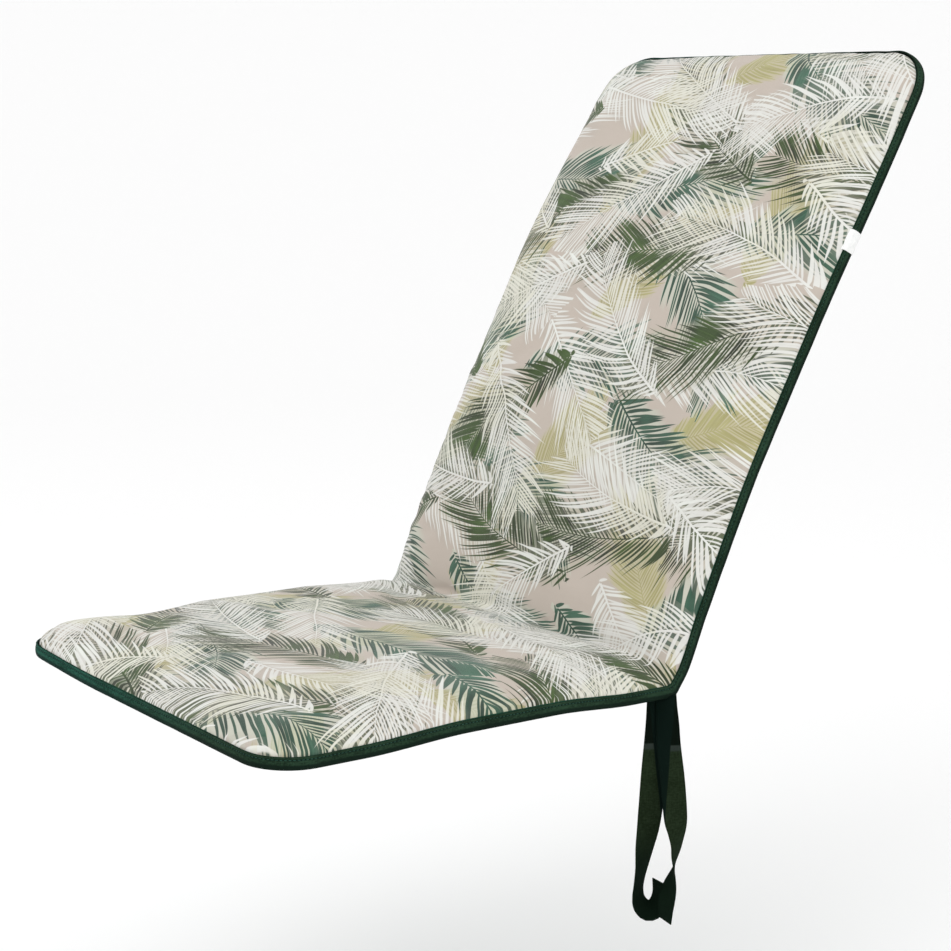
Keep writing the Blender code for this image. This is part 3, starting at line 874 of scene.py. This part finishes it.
def makeStitches():
    # short threads in the groove near the binding's upper edge: a straight row, bent round the pad
    x, s, outX, outS, gone, whole = padOutline()
    count = round(whole / binding["stitchPitch"])
    bm = bmesh.new()
    around, rings = binding["stitchSides"]
    bmesh.ops.create_uvsphere(bm, u_segments=around, v_segments=rings, radius=1.0)
    lying = Matrix.Rotation(math.pi / 2, 3, "Y")
    bmesh.ops.rotate(bm, verts=bm.verts[:], cent=(0, 0, 0), matrix=lying)
    size = (binding["stitchLength"] / 2, binding["stitchThick"], binding["stitchThick"])
    bmesh.ops.scale(bm, verts=bm.verts[:], vec=size)
    mesh = storeMesh(bm, "bindingStitches")
    piece = finishPiece("bindingStitches", mesh, threadCloth)
    repeat = piece.modifiers.new("row", "ARRAY")
    repeat.count = count
    repeat.use_relative_offset = False
    repeat.use_constant_offset = True
    repeat.constant_offset_displace = (whole / count, 0, 0)
    mesh = applyModifiers(piece)
    points = meshPoints(mesh)
    ripple = waver(gone, whole, binding["rippleSeed"], binding["ripples"])
    nearX, nearS, wayX, wayS, wave = (
        np.interp(points[:, 0] % whole, np.append(gone, whole), np.append(row, row[0]))
        for row in (x, s, outX, outS, ripple))
    inward = binding["stitchInward"] - binding["waver"] * wave - points[:, 1]
    height = binding["stitchHeight"] + points[:, 2]
    setMeshPoints(mesh, bendPad(nearX - wayX * inward, nearS - wayS * inward, height))
    writeFlatMap(mesh, points[:, :2])
    turnOutwards(mesh)
    mesh.shade_smooth()
    return piece


print("binding")
bindingBand, edgeLength = makeBinding()
bindingStitches = makeStitches()

# The blank label, a tape sewn round the binding

label = {
    "start": 0.489,  # from the fold
    "length": 0.024,
    "section": (  # distance in from the outermost line, and height
        (0.0012, -0.0006), (0.0001, 0.0008), (-0.0005, 0.003), (-0.0007, 0.0058),
        (-0.0005, 0.008), (-0.0001, 0.0094), (-0.0001, 0.0108), (0.0006, 0.0124),
        (0.002, 0.0135), (0.0038, 0.0144), (0.006, 0.0178),
    ),
    "cloth": 0.0006, "steps": 12, "wave": 0.0003,
    "waves": 9,  # how far the wave turns over the label's length, in radians
}


def makeLabel():
    section = np.array(label["section"])
    mesh, step, ring = makeGrid("labelTab", label["steps"], len(section) - 1)
    along = step / label["steps"]
    inward, height = section[ring, 0], section[ring, 1]
    wave = label["wave"] * np.sin(along * label["waves"] + ring)
    s = cushion["seatLength"] + label["start"] + label["length"] * along
    setMeshPoints(mesh, bendPad(cushion["width"] / 2 - inward + wave, s, height))
    gap = distancesAlong(section)
    writeFlatMap(mesh, np.stack([along * label["length"], gap[ring]], axis=1))
    piece = finishPiece("labelTab", mesh, labelCloth)
    thicken(piece, label["cloth"])
    refine(piece)
    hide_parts("label")


print("label")
makeLabel()

# The ribbon ties

ribbon = {
    "width": 0.025, "cloth": 0.0009, "inset": 0.012, "forward": 0.018,
    "heading": math.radians(51.4), "across": 10, "step": 0.0035, "samples": 200,
    "glance": 0.05,  # how far before and after a place its direction is read, in rows
    "rowUnits": (0.001, 0.001, 0.001, 1),
    "tuckFrom": 0.003,  # this far inside the pad's side the root starts to rise
    "tuck": 0.65,  # how steeply it rises towards its outer end
    "mostTuck": 0.0055, "tuckLength": 0.008,
}
# each row: along the tie's spread, down from the underside and towards the front in millimetres,
# and the turn in degrees
strands = {
    "tieNearFront": {"side": 1, "inner": 1, "node": "tie_near_front", "rows": (
        (2, 0.6, -9.5, 36), (2.7, 25, -7.2, 27), (2.2, 50, -6, 20),
        (1.1, 81, -6, 12), (0.2, 113, -6, 8), (-1.5, 139, -7, 22),
        (-3.9, 160, -9, 38), (-5.7, 180, -11, 54), (-8, 198, -12.5, 62),
        (-9, 211.5, -13.5, 62), (-6.8, 222.5, -14, 58), (1, 230, -14.5, 54),
        (9.5, 227, -14.5, 54), (13.5, 215, -14.5, 58), (12.5, 198.5, -14.5, 60),
    )},
    "tieNearRear": {"side": 1, "inner": -1, "node": "tie_near_rear", "rows": (
        (10, 0.6, 2.5, -38), (12.7, 25, 1.5, -24), (14.9, 49, 1, -14),
        (19.7, 80.6, 1, -4), (23, 106.7, 2, 8), (25.2, 125.6, 3.5, 20),
        (26.8, 136.1, 5, 38), (27.3, 148.8, 7, 57), (26.3, 161.6, 8.5, 68),
        (25.2, 177.5, 10, 90), (22, 193, 11.5, 114), (18.8, 206.5, 12, 126),
        (17.6, 217.2, 12, 124), (17.8, 230, 12, 116),
    )},
    "tieFarFront": {"side": -1, "inner": 1, "node": "tie_far_front", "rows": (
        (2, 0.6, -9.5, 36), (1.5, 40, -7, 18), (-3, 80, -10, 12),
        (-6.5, 120, -15, 26), (-5, 158, -14, 44),
    )},
    "tieFarRear": {"side": -1, "inner": -1, "node": "tie_far_rear", "rows": (
        (10, 0.6, 2.5, -38), (15, 40, 1, -12), (20, 80, 3, 14),
        (21.5, 115, 8, 48), (19, 150, 10, 30),
    )},
}


def strandRow(rows, place):
    # a smooth curve through the strand's rows
    index = min(int(place), len(rows) - 2)
    share = place - index
    p0, p1, p2, p3 = (
        rows[min(max(index + k, 0), len(rows) - 1)] for k in (-1, 0, 1, 2))
    square = 2 * p0 - 5 * p1 + 4 * p2 - p3 + share * (3 * p1 - p0 - 3 * p2 + p3)
    return p1 + 0.5 * share * (p2 - p0 + share * square)


def makeStrand(name):
    strand = strands[name]
    rows, side = np.array(strand["rows"]) * ribbon["rowUnits"], strand["side"]
    rootX = cushion["width"] / 2 - ribbon["inset"]
    root = Vector((side * rootX, seatMiddle - ribbon["forward"], 0))
    spread = Vector((side * math.cos(ribbon["heading"]), math.sin(ribbon["heading"]), 0))
    out = Vector((side * math.sin(ribbon["heading"]), -math.cos(ribbon["heading"]), 0))
    last = len(rows) - 1
    places = np.linspace(0, last, ribbon["samples"])
    middles = np.array([root + spread * r[0] + out * r[2] - Vector((0, 0, r[1]))
                        for r in (strandRow(rows, p) for p in places)])
    gone = distancesAlong(middles)
    steps = round(gone[-1] / ribbon["step"])
    evenPlaces = np.interp(np.linspace(0, gone[-1], steps + 1), gone, places)
    bm = bmesh.new()
    bmesh.ops.create_grid(bm, x_segments=ribbon["across"], y_segments=steps, size=0.5)
    flat = np.zeros((len(bm.verts), 2))
    for vert in bm.verts:
        step = round((vert.co.y + 0.5) * steps)
        place = evenPlaces[step]
        row = strandRow(rows, place)
        before = strandRow(rows, max(place - ribbon["glance"], 0))
        after = strandRow(rows, min(place + ribbon["glance"], last))
        ahead = Vector((after[0] - before[0], before[1] - after[1])).normalized()
        turn = math.radians(row[3])
        wide = (spread * -ahead.y + Vector((0, 0, ahead.x))) * math.cos(turn) - out * math.sin(turn)
        middle = root + spread * row[0] + out * row[2] - Vector((0, 0, row[1]))
        down = gone[-1] * step / steps
        flat[vert.index] = (strand["inner"] * vert.co.x * ribbon["width"], down)
        vert.co = middle + wide * vert.co.x * ribbon["width"]
        past = max(abs(vert.co.x) - cushion["width"] / 2 + ribbon["tuckFrom"], 0)
        tuck = min(ribbon["tuck"] * past, ribbon["mostTuck"])
        tuck = max(tuck, float(coverUnderside(vert.co.y + seatMiddle)))
        vert.co.z += tuck * max(1 - down / ribbon["tuckLength"], 0)
    bmesh.ops.recalc_face_normals(bm, faces=bm.faces[:])
    mesh = storeMesh(bm, name)
    writeFlatMap(mesh, flat)
    piece = finishPiece(name, mesh, ribbonCloth)
    thicken(piece, ribbon["cloth"])
    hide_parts(strand["node"])
    print(name, f"{gone[-1]:.3f} m")


print("ties")
for strandName in strands:
    makeStrand(strandName)

# Floor, light and camera

studio = {
    "floorHeight": -0.42, "flatRadius": 5.0, "bendRadius": 4.0,
    "bendAngle": math.radians(70), "floorRings": 12, "floorSides": 64,
    "floorColour": (0.96, 0.96, 0.96),
    "floorLook": {"rough": 0.95, "shine": 0.1},
    "lights": {
        "keyLight": {"place": (0.6, -2.2, 2.4), "size": 2.2, "power": 26.0},
        "fillLight": {"place": (2.4, 0.6, 1.4), "size": 2.0, "power": 10.0},
    },
    "lightTarget": (0, 0.2, 0.3), "worldStrength": 1.0,
    "view": {  # right, up and back are the camera's own axes, fitted to the photograph's outline
        "place": (1.7306, -1.1461, 0.5694),
        "right": (0.6202, 0.7839, 0.0296),
        "up": (-0.1472, 0.0792, 0.9859),
        "back": (0.7705, -0.6159, 0.1645),
        "lens": 78.9,
        "shift": (-0.05524, -0.0128),
        "farthest": 50,
    },
}


def makeFloor():
    # a wide pale dish: level round the object, with a rim that curves up, so that no horizon shows
    rings, sides = studio["floorRings"], studio["floorSides"]
    bm = bmesh.new()
    bmesh.ops.create_circle(bm, cap_ends=True, segments=sides, radius=studio["flatRadius"])
    rim = bm.edges[:]
    for ring in range(1, rings + 1):
        angle = studio["bendAngle"] * ring / rings
        radius = studio["flatRadius"] + studio["bendRadius"] * math.sin(angle)
        raised = bmesh.ops.extrude_edge_only(bm, edges=rim)["geom"]
        rim = [item for item in raised if isinstance(item, bmesh.types.BMEdge)]
        for vert in {vert for edge in rim for vert in edge.verts}:
            flat = Vector((vert.co.x, vert.co.y)).normalized() * radius
            vert.co = (flat.x, flat.y, studio["bendRadius"] * (1 - math.cos(angle)))
    bmesh.ops.translate(bm, verts=bm.verts[:], vec=(0, 0, studio["floorHeight"]))
    bmesh.ops.recalc_face_normals(bm, faces=bm.faces[:])
    mesh = storeMesh(bm, "floor")
    mesh.shade_smooth()
    paper = newMaterial("floorPaper", studio["floorColour"], studio["floorLook"])
    mesh.materials.append(paper[0])
    addObject("floor", mesh)


def addAreaLight(name):
    look = studio["lights"][name]
    light = bpy.data.lights.new(name, "AREA")
    light.shape = "DISK"
    light.size = look["size"]
    light.energy = look["power"]
    lamp = addObject(name, light)
    lamp.location = look["place"]
    way = Vector(studio["lightTarget"]) - lamp.location
    lamp.rotation_euler = way.to_track_quat("-Z", "Y").to_euler()


def makeCamera():
    view = studio["view"]
    camera = addObject("camera", bpy.data.cameras.new("camera"))
    turn = Matrix((view["right"], view["up"], view["back"])).transposed()
    camera.matrix_world = Matrix.Translation(view["place"]) @ turn.to_4x4()
    camera.data.lens = view["lens"]
    camera.data.shift_x, camera.data.shift_y = view["shift"]
    camera.data.clip_end = view["farthest"]
    scene.camera = camera


print("studio")
makeFloor()
for lightName in studio["lights"]:
    addAreaLight(lightName)
world = bpy.data.worlds.new("studioLight")
world.use_nodes = True
sky = world.node_tree.nodes["Background"].inputs
sky["Color"].default_value = (1.0, 1.0, 1.0, 1.0)
sky["Strength"].default_value = studio["worldStrength"]
scene.world = world
scene.view_settings.view_transform = "Standard"
makeCamera()

print("done")
